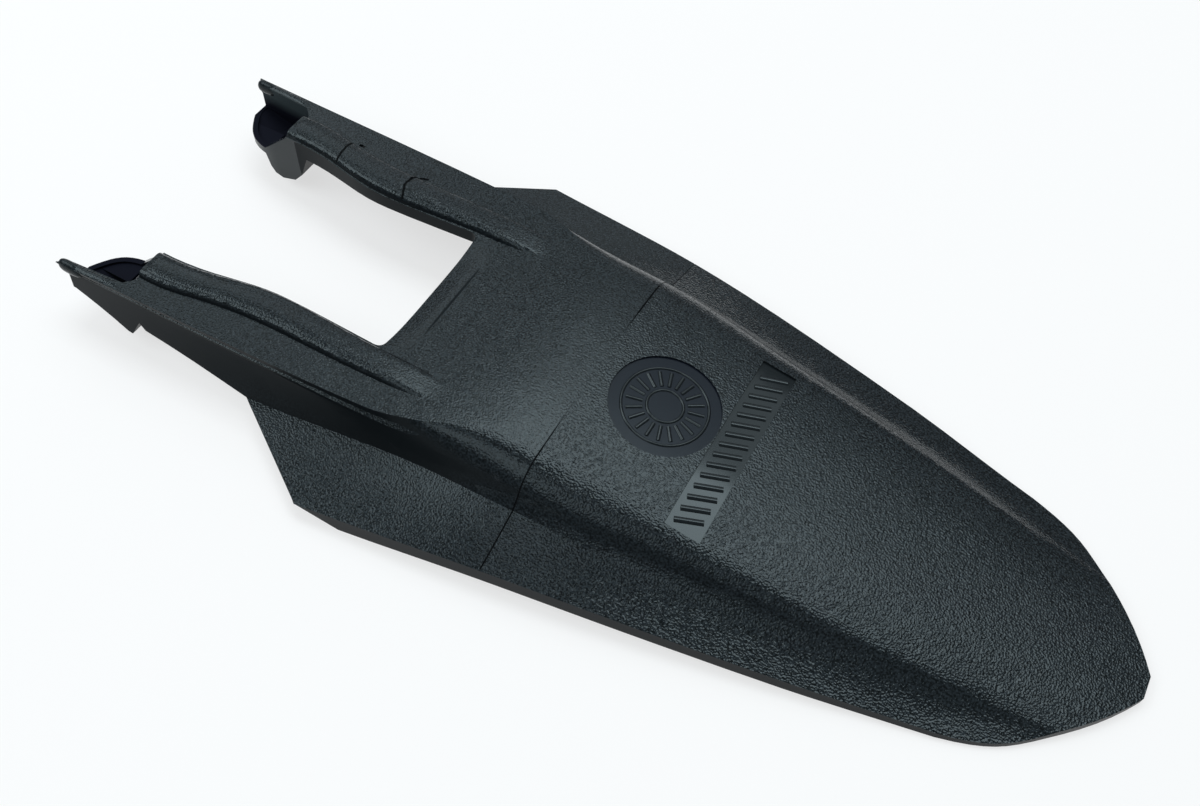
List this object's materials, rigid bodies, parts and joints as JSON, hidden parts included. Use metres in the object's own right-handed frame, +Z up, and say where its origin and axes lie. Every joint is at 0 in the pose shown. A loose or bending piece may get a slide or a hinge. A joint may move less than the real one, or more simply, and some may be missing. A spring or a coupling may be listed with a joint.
{
  "type": "motorcycle rear fender",
  "caption": "Moulded plastic motorcycle rear fender: channel arms with claws that hook to the subframe, a domed crown with bare recesses, side flanges and a flat tapered tail.",
  "frame": {"origin": "centre of the fender's box, on the surface that the fender lies on", "axes": "+X rearward along the fender, +Y to the vehicle's right, +Z up"},
  "size_m": [0.56, 0.244, 0.0476],
  "materials": {
    "black_plastic": "matte with a fine moulded grain, smooth in the recesses"
  },
  "bodies": {
    "root": {"rear_fender": "black_plastic"}
  },
  "joints": []
}
